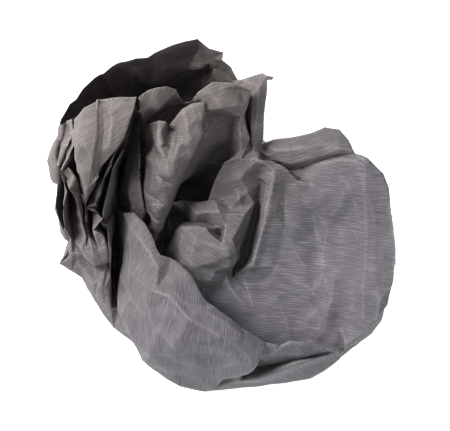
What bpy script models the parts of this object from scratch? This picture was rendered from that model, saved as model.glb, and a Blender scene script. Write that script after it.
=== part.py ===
"""Crumpled sheet of ribbed wrapping paper, lying as it was thrown down.

One A4-sized sheet is crushed into an open bowl with a turned-over collar, a core of small
creases, three standing flaps and a bundle of pleats. The sheet is one surface: the near side
carries the bowl, the collar and the flaps, the far side is the dish that it lies on, and the two
join in the fold that makes the outline. Between the flaps and the far wall the sheet is open.

Frame: origin under the middle of the heap on the surface that it lies on, +Z up, +X towards the
bowl, +Y towards the open wall. Fold lines are listed in millimetres as (x, y, z).
"""

import bpy
import bmesh
from mathutils import Vector

MM = 0.001
PAPER_THICKNESS = 0.3

# Outline fold: the near and the far side of the sheet meet here, from the left end of the open
# mouth, down the pleats, round the collar and the bowl's rim, to the mouth's right end.
MOUTH_LEFT = (-64.4, 35.2, 40)
MOUTH_RIGHT = (16, 28.4, 36)
OUTLINE_PLEATS = [
    MOUTH_LEFT, (-64.8, 31.6, 40), (-67.2, 28, 38), (-69.6, 21.6, 35), (-67.2, 13.6, 34),
    (-65.2, 12.8, 34), (-67.6, 2.4, 32), (-65.2, -4, 32), (-62.8, -9.2, 31), (-61.2, -10, 31),
    (-63.6, -14.8, 29), (-66, -20, 28),
]
OUTLINE_TAIL = [
    (-66, -20, 28), (-60.8, -22.8, 26), (-57.2, -25.6, 21), (-52, -34.8, 14), (-44.4, -46, 12),
    (-36.4, -52, 16),
]
OUTLINE_COLLAR = [
    (-36.4, -52, 16), (-34.4, -54.8, 18), (-32.4, -58.8, 20), (-27.6, -62.8, 19), (-22.8, -66, 18),
    (-16.8, -69.2, 18), (-6.8, -71.6, 18),
]
OUTLINE_FOOT = [
    (-6.8, -71.6, 18), (3.2, -70.8, 18), (14, -69.6, 18), (25.2, -68, 19), (35.6, -65.6, 20),
    (41.6, -62, 22), (48, -57.2, 25), (54.8, -52.8, 22),
]
OUTLINE_RIM = [
    (54.8, -52.8, 22), (59.2, -47.6, 27), (64, -42.4, 32), (66.4, -35.6, 38), (68.4, -28, 40),
    (70, -18.8, 41), (69.6, -10, 42), (68, 2, 43), (66.4, 10.8, 44), (64, 16.4, 44),
    (58, 21.6, 44), (54.4, 23.6, 43),
]
OUTLINE_LOBE = [
    (54.4, 23.6, 43), (52.8, 24.4, 40), (50.8, 30, 38), (47.2, 34.4, 37), (41.2, 35.2, 37),
    (35.6, 32.8, 38), (27.2, 30.8, 38), (20.8, 30, 37), (17.2, 28, 36), MOUTH_RIGHT,
]

# Pleats: crests and valleys from the mouth down the left side, outermost first.
PLEATS = [
    OUTLINE_PLEATS,
    [(-63.8, 36, 46), (-64, 30, 46), (-66.2, 27.6, 44), (-66.6, 23, 42), (-65.8, 19, 42),
     (-65.4, 13.4, 38), (-66.4, 7, 38), (-66.8, 2.6, 36), (-64.6, -4, 37), (-62.8, -8, 35),
     (-60.8, -10.6, 33), (-62.6, -16, 33), (-66, -20, 28)],
    [(-61.6, 37.4, 40), (-62, 30, 33), (-63, 24, 31), (-64, 18, 30), (-62.6, 12, 28),
     (-63.6, 6, 28), (-64.4, 1, 28), (-63, -4, 27), (-60.8, -9, 28), (-61.6, -15, 31.5),
     (-66, -20, 28)],
    [(-59.4, 38, 56), (-59.2, 31, 57), (-62.4, 25.2, 53), (-65, 19.6, 46), (-62.8, 12.4, 42),
     (-61.8, 9.6, 46), (-62.8, 5, 49), (-63, -1, 48), (-62.4, -6.4, 44), (-60.6, -9.6, 37),
     (-60.4, -16.6, 34.5), (-60.8, -22.8, 26)],
    [(-58.8, 37, 46), (-58.8, 30, 40), (-60.8, 24, 36), (-63.2, 17.6, 32), (-61.6, 12, 30),
     (-60.6, 7, 30), (-61, 0, 30), (-60.6, -5, 31), (-59.4, -10.4, 33), (-58.8, -15.4, 34),
     (-60.8, -22.8, 26)],
    [(-58.4, 34, 58), (-58.2, 28, 60), (-61.2, 22, 54), (-64.4, 17, 45), (-61.2, 19, 50),
     (-58.6, 15.2, 49), (-60.8, 10.4, 48), (-58, 6.8, 52), (-56.4, 1, 48), (-55.6, -3.6, 45),
     (-54.4, -8.4, 43), (-56.4, -13.2, 41), (-56.8, -14.8, 34), (-57.2, -20, 31),
     (-57.2, -25.6, 21)],
    [(-58.4, 33, 48), (-58, 26, 43), (-58.4, 20, 38), (-57.8, 15, 36), (-57.6, 11, 38),
     (-55.8, 9, 42), (-54, 4, 33), (-53.6, -2, 30), (-52.6, -7, 34), (-54.2, -13, 41),
     (-54.6, -16.2, 40.5), (-54.8, -17.4, 32), (-55.2, -22, 30), (-57.2, -25.6, 21)],
]

# Flap A: the broad standing flap at the upper left, tapering to a point.
FLAP_A_TIP = (-53.4, 10, 57)
FLAP_A = [
    [(-58.8, 38, 58), (-59.4, 31, 60), (-57.8, 27.6, 62), (-57.4, 22, 61), (-57.2, 17.2, 60),
     FLAP_A_TIP],
    [(-55.2, 42, 62), (-56, 32, 65), (-55.6, 28.4, 66), (-57, 23.6, 63), (-55, 16, 62),
     FLAP_A_TIP],
    [(-48.6, 45.8, 64), (-49.2, 36, 67), (-50.4, 26, 69), (-51.4, 18, 66), FLAP_A_TIP],
    [(-46.6, 46, 62), (-46.2, 36, 64.5), (-46.8, 25.6, 66.5), (-49.6, 16.4, 63), FLAP_A_TIP],
    [(-44, 46.2, 64), (-43.2, 36, 67), (-44.4, 27.2, 67), (-48.2, 16.6, 62.5), FLAP_A_TIP],
    [(-33, 46.6, 64.5), (-34.4, 41.2, 66.5), (-36.4, 36, 66.5), (-41.6, 26, 66), (-47.6, 17.2, 62.5),
     (-50.8, 12.4, 60), FLAP_A_TIP],
]

# Layers that drop away under flap A's right edge into the dark channel beside the collar.
FLAP_A_ROOT = [
    (-54.6, 3, 44), (-54.2, -6, 40), (-52.4, -12, 43), (-51.6, -16, 42), (-51.2, -19.2, 40),
    (-51.2, -20.6, 31), (-51.6, -27, 29), (-52, -34.8, 14),
]
CHANNEL = [
    FLAP_A[-1] + FLAP_A_ROOT,
    [(-35, 45, 50), (-38, 38, 44), (-42, 29, 42), (-47, 20, 40), (-51.4, 12, 38),
     (-53, 6, 34), (-52.6, -2, 30), (-51, -8, 32), (-49, -14, 41), (-48.6, -18.8, 40),
     (-48.6, -20.2, 31), (-49.8, -27, 30), (-52, -34.8, 14)],
    [(-34.4, 44, 42), (-38.4, 33, 46), (-44.8, 20.4, 50), (-48.8, 10, 48), (-50.6, 4.6, 46),
     (-54.2, 2.8, 44), (-50, 1.2, 47), (-47.6, -1.6, 48), (-51.4, -6, 44), (-47.6, -8.4, 42),
     (-46.6, -13, 42), (-46, -17.8, 40), (-46.4, -19.4, 32), (-48.6, -28.4, 31), (-52, -34.8, 14)],
    [(-34, 43, 38), (-38.6, 30, 38), (-43.6, 20.6, 34), (-46.6, 10, 32), (-48.4, 0, 32),
     (-47.6, -3, 32), (-46, -8, 34), (-45.2, -17, 37), (-45.4, -19.6, 31), (-47.4, -29, 30),
     (-47.6, -36, 19),
     (-44.4, -46, 12)],
    [(-33.6, 42, 34), (-37.6, 30, 38), (-43.4, 19, 46), (-45.4, 10, 47), (-47.4, 0, 46),
     (-48.4, -3, 44), (-45.6, -4, 44), (-45, -12, 41), (-44.6, -18, 36), (-45, -24, 31),
     (-46, -30.6, 28), (-45, -38, 20), (-44.4, -46, 12)],
    [(-33.4, 41, 28), (-36.4, 31, 22), (-40.4, 21, 19), (-42, 11, 17), (-43, 2, 16),
     (-43.6, -8, 14), (-43.8, -18, 14), (-43.8, -28, 14), (-42.4, -38, 19), (-38.6, -48, 21),
     (-36.4, -52, 16)],
]

# Collar: the broad turned-over band round the lower left. Its crest hangs over the bowl, and the
# tuck is the hidden fold under that crest. Both start and end in the same points.
COLLAR_START = (-43, 2, 16)
RIM_CORNER = (54.8, -52.8, 22)
TUCK = [
    COLLAR_START, (-39.5, -4, 18), (-35, -9, 18), (-31.5, -14, 18), (-28.5, -19.5, 19),
    (-25, -25, 20), (-20, -28.5, 24), (-15.5, -33, 26), (-10.5, -38, 29), (-5.5, -42.5, 28),
    (-1, -46.5, 27), (4, -50, 26), (9, -53, 26), (16, -55.5, 26), (23, -57, 26), (30, -57, 26),
    (37, -58, 27), (43, -57.5, 28), (48, -55.8, 28), RIM_CORNER,
]
COLLAR_CREST = [
    COLLAR_START, (-39.2, 0.8, 36), (-35.2, 0.4, 42), (-30.8, -4.8, 45), (-27.2, -10, 47),
    (-24.4, -16, 48), (-20.8, -17.2, 46), (-18, -18.8, 46), (-14.4, -22.8, 47),
    (-8.8, -30.4, 49), (-4.8, -35.2, 50), (0, -39.2, 50), (4.4, -42.8, 49), (7.2, -45.2, 48),
    (11.2, -47.2, 47), (16.8, -50.8, 45),
]
COLLAR_FOLD = [
    (16.8, -50.8, 45), (14.4, -55.6, 47), (12, -60.8, 46), (10, -62.4, 43), (5.2, -64.4, 38),
    (1.2, -65.6, 34), (-1.6, -69.2, 25), (-6.8, -71.6, 18),
]
COLLAR = [
    COLLAR_CREST,
    [(-43.6, -8, 14), (-40, -4, 29), (-36.8, -4.4, 42), (-32.8, -9.2, 46), (-28.8, -15.2, 49),
     (-25.2, -21.2, 50), (-21.6, -22.8, 46.5), (-19.2, -30, 51), (-14.8, -34.8, 52),
     (-10.4, -36, 53), (-4.8, -38.8, 53), (1.2, -42.8, 52), (6.4, -47.2, 51), (9.2, -48.8, 49),
     (12.6, -52, 48.5), (14.4, -55.6, 47)],
    [(-43.8, -18, 14), (-41, -19, 26), (-37.6, -22.8, 40), (-32.8, -26, 45), (-26.8, -30, 49),
     (-20.8, -32.4, 52), (-18.4, -34.8, 53), (-12.8, -41.2, 54), (-6.4, -44.8, 54),
     (0, -48.4, 53), (6.4, -52, 51), (10.4, -56.6, 49), (12, -60.8, 46)],
    [(-43.8, -28, 14), (-41, -29, 27), (-35.6, -33, 38), (-29.6, -38.8, 42), (-24, -46, 46),
     (-18.4, -50, 49), (-10.4, -52, 50), (-2, -53, 50), (4.4, -55, 49), (9, -59.4, 46),
     (10, -62.4, 43)],
    [(-42.4, -38, 19), (-40.6, -39.5, 30), (-33.6, -46, 35), (-28.8, -55.6, 35),
     (-22.8, -55.6, 38), (-16.8, -56.4, 41), (-10.8, -57.6, 41.5), (-2.8, -56.6, 43),
     (2.8, -57.4, 44), (6.6, -61.6, 42), (10, -62.4, 43)],
    [(-38.6, -48, 21), (-36.6, -49.6, 27), (-33.6, -55.2, 25), (-30.8, -59.2, 26),
     (-22.8, -61.8, 29), (-14.4, -61, 33.5), (-12, -64.4, 31), (-2.8, -62.8, 35),
     (5.2, -64.4, 38)],
    [(-36.4, -52, 16), (-34.4, -54.8, 18), (-32.4, -58.8, 20), (-27.6, -62.8, 19),
     (-22.8, -66, 18), (-16.8, -69.2, 18), (-6.8, -71.6, 18), (-1.6, -69.2, 25),
     (1.2, -65.6, 34), (5.2, -64.4, 38)],
]
CHANNEL_FLOOR = [(-33.4, 41, 28), (-36.4, 31, 22), (-40.4, 21, 19), (-42, 11, 17), COLLAR_START]

# Lower layer of the collar: it comes out from under the collar's right-hand fold and runs to
# the bowl's corner, with a long crest and a shaded strip beside the fold.
UNDER_FOLD = [
    (16.8, -50.8, 45), (11.5, -55, 39), (6, -60, 33), (-2, -66.5, 24), (-6.8, -71.6, 18),
]
LOWER_LAYER = [
    [(16.8, -50.8, 45), (23.2, -52.4, 42), (27.2, -50.8, 42), (32, -51.2, 41),
     (36.4, -52.8, 39), (43.2, -53.6, 36), RIM_CORNER],
    [(11.5, -55, 39), (16, -55, 42), (24.4, -54.8, 41), (31.2, -55, 39), (37, -55.4, 36.5),
     (44, -54.6, 33.5), RIM_CORNER],
    [(6, -60, 33), (11, -62.4, 27), (14.6, -60.6, 28), (21, -60, 30), (29.2, -58.2, 33),
     (36.8, -56.8, 34), (44, -55, 33), RIM_CORNER],
    [(-2, -66.5, 24), (0, -69.2, 23), (7.2, -66.6, 29), (14, -65.2, 33), (21.2, -62.4, 36),
     (29.2, -59.4, 38), (36.8, -57.6, 37), (43.2, -56, 34), RIM_CORNER],
    OUTLINE_FOOT,
]

# Tongue B: the bright tongue between the channel and the pocket, with the small arch behind it.
HIDDEN_TUCK_B = [
    (-31, 36, 44), (-27.5, 34.5, 42), (-24, 34.5, 41), (-21, 33, 39), (-18.4, 34.5, 38),
    (-15, 38, 38), (-11, 41, 42), (-8, 41.5, 46),
]
ARCH = [
    [(-32.8, 46.4, 60), (-28.8, 49.2, 60), (-25.6, 50.4, 61), (-22.4, 51.2, 60),
     (-18.4, 50, 57), (-16.8, 47.2, 54), (-15.2, 44.8, 48), (-12.4, 45, 50), (-11.2, 46, 59)],
    [(-32.2, 41, 58), (-28, 43, 57), (-24.8, 42, 56), (-22, 44, 52), (-19.4, 45, 42),
     (-17, 43, 41), (-14.4, 43.2, 42), (-11.4, 43.6, 48), (-9, 44, 56)],
    HIDDEN_TUCK_B,
]
TONGUE_B_TIP = (-26.6, -5.2, 31)
TONGUE_B = [
    HIDDEN_TUCK_B,
    [(-29, 36.4, 54), (-25, 37.2, 58), (-21.6, 36.9, 58), (-19.6, 34.6, 54), (-18.4, 38, 58),
     (-15.2, 41.4, 60), (-11.6, 43.4, 61), (-7.2, 44.4, 61)],
    [(-26.5, 31.6, 54), (-24.8, 32.4, 58), (-22, 32.6, 55), (-20, 32, 54.5), (-17.6, 33, 60),
     (-13.6, 35, 62), (-10.4, 38, 61), (-8.4, 38.8, 60)],
    [(-26.4, 28.6, 53), (-24, 26.5, 57.5), (-20.6, 26, 58.5), (-17.4, 27.5, 60.5),
     (-13.6, 29.5, 61), (-9.2, 32.8, 58)],
    [(-28.4, 22.6, 52), (-24.4, 22, 54.5), (-22.2, 22, 58), (-19, 22.5, 58.5),
     (-12.8, 25.2, 56)],
    [(-30.8, 17.2, 48), (-26, 16.5, 52), (-22.6, 17.5, 55), (-20.8, 17.2, 56),
     (-16.8, 20.8, 54)],
    [(-30.8, 10, 44), (-26.4, 10.5, 48.5), (-23.4, 12, 51), (-20.4, 13.2, 50)],
    [(-29.4, 3, 38.5), (-26.6, 3, 42), (-23.2, 6, 44)],
    [(-28, -2, 33.5), (-26.4, -1.5, 36), (-25.2, -0.4, 35)],
    [TONGUE_B_TIP],
]
TONGUE_B_LEFT = [row[0] for row in TONGUE_B]
TONGUE_B_RIGHT = [row[-1] for row in TONGUE_B]

# Leaf: the narrow light fold that stands between the channel and tongue B.
LEAF = [
    CHANNEL_FLOOR,
    [(-33.4, 42, 32), (-35, 33, 34), (-34, 26, 45), (-36.4, 17.2, 43), (-36.8, 10, 41),
     (-35.4, 2.8, 36), (-39.5, -4, 18)],
    [(-33.2, 43, 34), (-33.4, 34, 36), (-32.8, 24.4, 49), (-33, 18, 47), (-32.6, 10, 44),
     (-31.8, 3, 38), (-35, -9, 18)],
    [(-33, 45, 40), (-31.6, 36, 34), (-31, 24, 36), (-31.6, 16, 33), (-31.4, 8, 31),
     (-29.6, 0, 27), (-31.5, -14, 18)],
    [(-32.8, 46.4, 60), (-32.2, 41, 58)] + TONGUE_B_LEFT + [(-28.5, -19.5, 19)],
]

# Flap C: the lit band at the top, its dark inner face, and the strip and the fin beside it.
FLAP_C_STRIP = [
    [(8.4, 43, 56), (7.4, 38.8, 54), (7.2, 32, 50), (7.2, 26, 44)],
    [(11.6, 49.2, 57), (11, 46, 56), (9.2, 41.2, 54), (8.8, 38, 52), (10, 33.2, 50),
     (11.2, 30, 48), (9.6, 26.8, 44)],
    [(9, 48, 45), (10, 44.5, 44), (9.6, 40, 43), (10, 36, 42), (11.2, 32, 42), (11.6, 28.6, 41),
     (11, 26, 41)],
    [(3.8, 53.2, 44), (11, 49.5, 48), (12.2, 48, 50), (11.6, 42, 48), (11.4, 36, 47),
     (11.8, 29.4, 45), (12.8, 25.4, 42)],
    [(7.2, 54, 46), (14.8, 50.8, 51), (14.2, 44, 49), (13.6, 36, 47), (13.8, 29, 44),
     (14.4, 26.2, 40)],
    [(16, 56.8, 48), (17.6, 55.6, 50), (18.2, 53.4, 50), (17.6, 46, 47), (16.8, 38, 46),
     (16.4, 31.2, 43), MOUTH_RIGHT],
]
FIN_EAR = [[(17.6, 55.6, 50), (18.2, 53.4, 50)], [(20.8, 54.8, 49), (20, 53.6, 48)]]
FLAP_C = [
    [(-11.2, 46, 59), (-9.6, 48, 60), (-3.6, 52.4, 62), (4.4, 52, 61), (11.6, 49.2, 57)],
    [(-9, 44, 56), (-8, 46.4, 60), (-4.8, 48, 62), (0, 50, 62), (5, 51.4, 61),
     (11.6, 49.2, 57)],
    [(-8, 41.5, 46), (-5.6, 42.2, 58), (0, 42.6, 61), (5.6, 43.6, 59.5), (6.8, 49.6, 58),
     (11.6, 49.2, 57)],
    [(-8, 41.5, 46), (-5.6, 42.2, 58), (0, 42.6, 61), (5.6, 43.6, 59.5), (8.4, 43, 56)],
    [(-6, 36, 44), (-2.5, 37.4, 45), (4, 38.4, 47), (7.4, 38.8, 54)],
    [(-7.2, 30, 41), (-3, 29.5, 37), (3, 30.5, 38), (7.2, 32, 50)],
    [(-10.5, 23, 38), (-8.5, 23, 34), (-4, 21, 30), (1, 23, 31), (7.2, 26, 44)],
    [(-14, 18.6, 38), (-10, 17.2, 26), (-6, 16.5, 20), (-1, 18, 24), (1.6, 20, 36)],
    [(-17.2, 12, 36), (-15.6, 12.6, 14), (-10.8, 10.5, 12), (-5.5, 10, 15), (-1.4, 13, 24)],
    [(-19.6, 5, 30), (-18.4, 7, 14), (-15, 4, 14), (-10.8, 3, 16), (-5, 4, 22)],
]

# Core: the crushed middle, from the crest along its top down to the tuck under the collar.
WING_LEFT = [(0, 20.8, 42), (-3.2, 14, 40), (-6, 6, 36)]
CORE = [
    [(-19.6, 5, 30), (-21.6, -2, 20), (-23.4, -10, 17), (-25, -25, 20)],
    [(-19.6, 5, 30), (-20.2, 0, 18), (-21, -8, 21), (-20.6, -15, 24), (-25, -25, 20)],
    [(-15.6, 6.4, 31), (-15.2, 1.2, 27), (-14.4, -2, 22), (-15.6, -5.4, 34),
     (-17, -12, 35), (-16.4, -18.8, 36), (-20, -28.5, 24)],
    [(-10, 5.6, 35), (-10.4, 0.4, 36), (-11.6, -3.2, 27), (-12, -5.2, 37), (-13, -12, 39),
     (-11, -20, 38), (-9.6, -25.6, 35), (-15.5, -33, 26)],
    [(-6, 6, 36), (-5.6, 1.2, 38), (-5.6, -3.6, 29), (-6.4, -5.2, 40), (-4.4, -12, 41),
     (-3.8, -18.8, 40), (-2.8, -22.8, 36), (-10.5, -38, 29)],
    [(-3.2, 6.4, 37), (-0.8, 0.8, 41), (-1.2, -4.8, 36), (-0.4, -8.4, 31), (0, -11.6, 41),
     (0.8, -16.4, 41), (2.4, -20.8, 38), (1.6, -24, 30), (-1.5, -30, 28.5), (-5.5, -42.5, 28)],
    [(0, 6.6, 35), (2.8, 3, 36), (1.8, 0.4, 39), (1.2, -4.4, 39.5), (4, -10, 40),
     (5.8, -14.8, 40), (6.4, -18.8, 37.5), (3.6, -22.4, 27), (2.4, -28, 29.5),
     (0.5, -36, 28.5), (-1, -46.5, 27)],
    [(6, 9.2, 38), (6.8, 6.6, 41), (7.6, 2.8, 37), (9.6, 0.4, 38.5), (7.6, -3.5, 38),
     (7.8, -10, 30), (8, -16, 26), (5.6, -20.8, 25), (4.8, -25.6, 26.5), (5.5, -32, 29),
     (4, -42, 27.5), (4, -50, 26)],
    [(7.2, 14, 41), (10.4, 9, 38), (12.8, 4.6, 36), (13, -2, 27), (11.2, -9, 25),
     (10, -16, 25), (8.4, -20, 26), (6, -23.4, 30.5), (8, -28.8, 27), (9, -36, 28.5),
     (8, -46, 27), (9, -53, 26)],
    [(8.4, 17.2, 42), (14, 15.6, 37), (16, 13, 35), (14.8, 6, 31), (14.4, -2, 29),
     (12.6, -10, 28), (11.4, -17, 29), (9.2, -21.2, 32), (9.2, -27.2, 29), (12, -36, 28),
     (12, -46, 27), (9, -53, 26)],
]

# Bowl: from its left-hand ridge to the rim, each line from the top edge down to the tuck.
BOWL = [
    CORE[-1],
    [(14.4, 22, 45), (18.4, 19.6, 44), (20.6, 17.6, 43), (20.2, 12, 42), (18.6, 6, 40),
     (17.6, 0, 38), (16, -6.8, 36), (14.4, -11.2, 35), (13.2, -16.8, 34), (12.4, -19.6, 33),
     (16, -27.2, 28), (18, -40, 27.5), (17, -48, 27), (16, -55.5, 26)],
    [(20, 21.6, 44), (24.4, 19.2, 43), (26, 14, 40), (25, 5, 37), (25, -2, 34), (24, -12, 32),
     (22, -20, 30.5), (24, -30, 28.5), (26, -42, 27), (23, -57, 26)],
    [(27.6, 16, 41), (29.6, 13.6, 40), (32, 7, 37), (30, -4, 34), (32, -12, 32), (30, -22, 30.5),
     (32, -32, 29.5), (31, -42, 27.5), (30, -57, 26)],
    [(32, 14, 36), (36, 12, 38), (37, 4, 36.5), (37, -4, 34), (38, -14, 32), (37, -30, 30),
     (36, -42, 28.5), (30, -57, 26)],
    [(40, 20.4, 39), (42, 14, 39), (44, 3, 37.5), (44, -6, 35), (43, -20, 33), (43, -37, 31),
     (41, -47, 29), (37, -58, 27)],
    [(47.2, 22.4, 42), (49, 13, 40.5), (52, 3, 38.5), (51, -8, 37), (53, -22, 35.5),
     (51, -34, 33.5), (48, -46, 30.5), (43, -57.5, 28)],
    [(52.8, 24.4, 40), (56, 21, 43), (58, 14, 42.5), (60.5, 4, 41.5), (61, -8, 40.5),
     (61.4, -22, 39.5), (63, -34, 40), (62, -42, 38.5), (56, -47.6, 37), (50, -52, 35),
     (48, -55.8, 28)],
    [(52.8, 24.4, 40)] + OUTLINE_RIM[::-1],
]

# Lobe: the flap of paper that stands behind the bowl's top edge, and the trough between them.
LOBE = [
    OUTLINE_LOBE[:0:-1],
    [MOUTH_RIGHT, (21.2, 26, 40), (26.4, 26, 41), (33.2, 27, 42), (41.2, 28, 41),
     (46.4, 26.8, 42), (50.8, 25.6, 41), (52.8, 24.4, 40)],
    [(14.4, 26.2, 40), (18.4, 23.6, 38), (24, 21.6, 39), (28, 21, 39.5), (33.2, 22.6, 40),
     (40, 24, 41), (48.4, 25.2, 41), (52.8, 24.4, 40)],
    [(14.4, 22, 45), (18, 22, 36), (22.4, 20.6, 33), (26.4, 18, 32), (33.2, 19.6, 34),
     (41.2, 22, 37), (49.2, 23.8, 39), (52.8, 24.4, 40)],
    [(14.4, 22, 45), (20, 21.6, 44), (27.6, 16, 41), (32, 14, 36), (40, 20.4, 39),
     (47.2, 22.4, 42), (52.8, 24.4, 40)],
]

# Far side: the wall that rises behind the flaps, seen from inside, and the dish underneath.
WALL = [
    [MOUTH_RIGHT, (14.4, 36, 34), (11.2, 46, 36), (6.8, 54, 42), (4, 59.2, 44), (0.4, 62, 45),
     (0.8, 64.8, 47), (-4.8, 66.4, 48), (-9.6, 70.4, 50), (-18.8, 67.2, 49), (-26.8, 63.6, 47),
     (-29.6, 62, 46), (-34.4, 62.4, 48), (-41.6, 60, 48), (-48.8, 56.4, 48), (-55.2, 50, 46),
     (-58, 46, 45), (-60.8, 44, 44), (-64, 38, 42), MOUTH_LEFT],
    [MOUTH_RIGHT, (13, 35, 28), (9.8, 45, 30), (5.6, 53.2, 37), (2.8, 57.6, 38),
     (-0.4, 61.2, 41), (-2.8, 62.8, 43), (-4.8, 62, 38), (-9.2, 67.2, 42), (-16.8, 65, 44),
     (-26, 61.8, 44), (-29.6, 59.6, 42), (-35.6, 57.6, 40), (-38.8, 59, 44), (-44, 57, 42),
     (-49.6, 54.4, 41), (-55.4, 46.4, 36), (-57.4, 40.4, 34), (-60.8, 37.4, 36), MOUTH_LEFT],
    [MOUTH_RIGHT, (11.4, 34, 20), (8, 44, 20), (3.2, 52, 28), (1.6, 54.8, 34),
     (-2, 59.2, 36), (-4, 58.2, 30), (-7.6, 57.2, 24), (-14.8, 57.2, 30), (-21.6, 56, 31),
     (-28.8, 54, 28), (-32, 51.6, 20), (-36, 50, 23), (-41.6, 50.8, 26), (-47.2, 50.2, 27),
     (-51.6, 46, 25), (-54.4, 40, 22), (-59, 34.4, 24), MOUTH_LEFT],
]
OUTLINE = (
    OUTLINE_PLEATS + OUTLINE_TAIL[1:] + OUTLINE_COLLAR[1:] + OUTLINE_FOOT[1:] + OUTLINE_RIM[1:]
    + OUTLINE_LOBE[1:]
)
DISH = [
    OUTLINE + WALL[-1][1:],
    [(-52, 30, 12), (-57, 18, 14), (-54, 8, 11), (-57, -2, 14), (-52, -12, 11), (-50, -20, 12),
     (-44, -32, 9), (-34, -42, 11), (-24, -54, 7), (-10, -58, 9), (2, -61, 6), (16, -58, 9),
     (28, -56, 7), (40, -50, 11), (50, -42, 13), (54, -28, 19), (60, -14, 18), (56, 2, 20),
     (56, 14, 18), (46, 20, 20), (38, 26, 15), (26, 22, 16), (16, 23, 11), (9, 30, 8),
     (4, 40, 9), (-2, 47, 7), (-8, 48, 9), (-14, 46, 6), (-22, 47, 9), (-30, 44, 7),
     (-38, 43, 9), (-45, 41, 8), (-50, 36, 10), (-52, 30, 12)],
    [(-40, 24, 2), (-44, 8, 3), (-38, -4, 0.8), (-38, -18, 2.5), (-24, -32, 0.6),
     (-10, -42, 2.4), (8, -40, 0.5), (24, -38, 2.6), (36, -24, 1.2), (42, -8, 4),
     (36, 4, 1.4), (32, 14, 4.5), (14, 16, 0.6), (2, 28, 2.6), (-12, 30, 0.6), (-26, 34, 3),
     (-40, 24, 2)],
]
RESTING_FACE = [
    (-24, 14, 0), (-28, -6, 0), (-18, -22, 0), (4, -26, 0), (20, -16, 0), (22, 0, 0),
    (8, 12, 0), (-10, 18, 0),
]


def distance(first, second):
    return (Vector(first) - Vector(second)).length


def bridge(first, second):
    """Triangles between two fold lines, chosen so that the rungs across are as short as can be."""
    best = {(0, 0): (0.0, None)}
    for i in range(len(first)):
        for j in range(len(second)):
            rung = distance(first[i], second[j])
            steps = [(best[step][0] + rung, step) for step in ((i - 1, j), (i, j - 1))
                     if step in best]
            if steps:
                best[(i, j)] = min(steps)
    triangles = []
    here = (len(first) - 1, len(second) - 1)
    while best[here][1] is not None:
        before = best[here][1]
        a, b = first[here[0]], second[here[1]]
        other = first[before[0]] if before[1] == here[1] else second[before[1]]
        triangles.append((a, b, other))
        here = before
    return triangles


def ladder(lines):
    """Triangles between each fold line and the next."""
    triangles = []
    for first, second in zip(lines, lines[1:]):
        triangles += bridge(first, second)
    return triangles


def near_side():
    triangles = ladder(PLEATS + [FLAP_A[0] + FLAP_A_ROOT])
    triangles += ladder(FLAP_A)
    triangles += ladder(CHANNEL)
    triangles += ladder(COLLAR)
    triangles += ladder([TUCK, COLLAR_CREST + LOWER_LAYER[0][1:]])
    triangles += ladder([COLLAR_FOLD, UNDER_FOLD])
    triangles += ladder(LOWER_LAYER)
    triangles += ladder(LEAF)
    triangles += ladder(ARCH)
    triangles += ladder(TONGUE_B)
    pocket_left = [row[0] for row in FLAP_C[3:]]
    triangles += ladder([TONGUE_B_RIGHT + [TUCK[4]], pocket_left + CORE[0][1:]])
    triangles += ladder(FLAP_C)
    triangles += ladder(FLAP_C_STRIP)
    triangles += ladder(FIN_EAR)
    pocket_right = [row[-1] for row in FLAP_C[6:]]
    triangles += ladder([pocket_right, WING_LEFT])
    core_crest = [column[0] for column in CORE[1:]]
    flange = [WING_LEFT[0], (7.2, 21.6, 44), (14.4, 22, 45)]
    triangles += ladder([FLAP_C[9], core_crest[:4]])
    triangles += ladder([WING_LEFT, flange[1:] + core_crest[:2:-1]])
    strip_feet = [column[-1] for column in FLAP_C_STRIP[:5]]
    triangles += ladder([flange, strip_feet])
    triangles += ladder(CORE)
    triangles += ladder(BOWL)
    triangles += ladder(LOBE)
    return triangles


def far_side():
    triangles = ladder(WALL)
    triangles += ladder(DISH + [RESTING_FACE + RESTING_FACE[:1]])
    return triangles


def sheet_mesh():
    """Weld all the facets into one surface and turn them all the same way."""
    mesh = bpy.data.meshes.new("paper_sheet")
    builder = bmesh.new()
    vertices = {}
    for triangle in near_side() + far_side():
        corners = []
        for point in triangle:
            key = tuple(round(value, 3) for value in point)
            if key not in vertices:
                vertices[key] = builder.verts.new([value * MM for value in key])
            if vertices[key] not in corners:
                corners.append(vertices[key])
        if len(corners) == 3:
            builder.faces.new(corners)
    bottom = [vertices[tuple(round(value, 3) for value in point)] for point in RESTING_FACE]
    builder.faces.new(bottom)
    bmesh.ops.triangulate(builder, faces=[face for face in builder.faces if len(face.verts) > 3])
    bmesh.ops.recalc_face_normals(builder, faces=builder.faces)
    builder.to_mesh(mesh)
    builder.free()
    return mesh


def kraft_paper():
    """Dark grey ribbed wrapping paper, matt."""
    material = bpy.data.materials.new("ribbed_kraft_paper")
    material.use_nodes = True
    shader = material.node_tree.nodes["Principled BSDF"]
    shader.inputs["Base Color"].default_value = (0.098, 0.096, 0.099, 1.0)
    shader.inputs["Roughness"].default_value = 0.85
    shader.inputs["Metallic"].default_value = 0.0
    return material


# Build the object.
for thing in list(bpy.data.objects):
    bpy.data.objects.remove(thing, do_unlink=True)

paper_sheet = bpy.data.objects.new("paper_sheet", sheet_mesh())
bpy.context.scene.collection.objects.link(paper_sheet)
paper_sheet.data.materials.append(kraft_paper())

thickness = paper_sheet.modifiers.new("paper_thickness", "SOLIDIFY")
thickness.thickness = PAPER_THICKNESS * MM
thickness.offset = -1.0
thickness.use_even_offset = False
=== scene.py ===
# %% [markdown]
# # Crumpled wrapping paper
# One sheet of dark grey ribbed kraft paper has been crushed in the hands and dropped on a table.
# The lesson takes the sheet's plain CAD solid, gives it the small creases, the ribs and the
# wear-marked edges of real paper with a painted highlight along them, and lights it softly from
# high on the left.

import math
import random

import bmesh
import bpy
import numpy as np
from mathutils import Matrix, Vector
from mathutils.bvhtree import BVHTree


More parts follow.
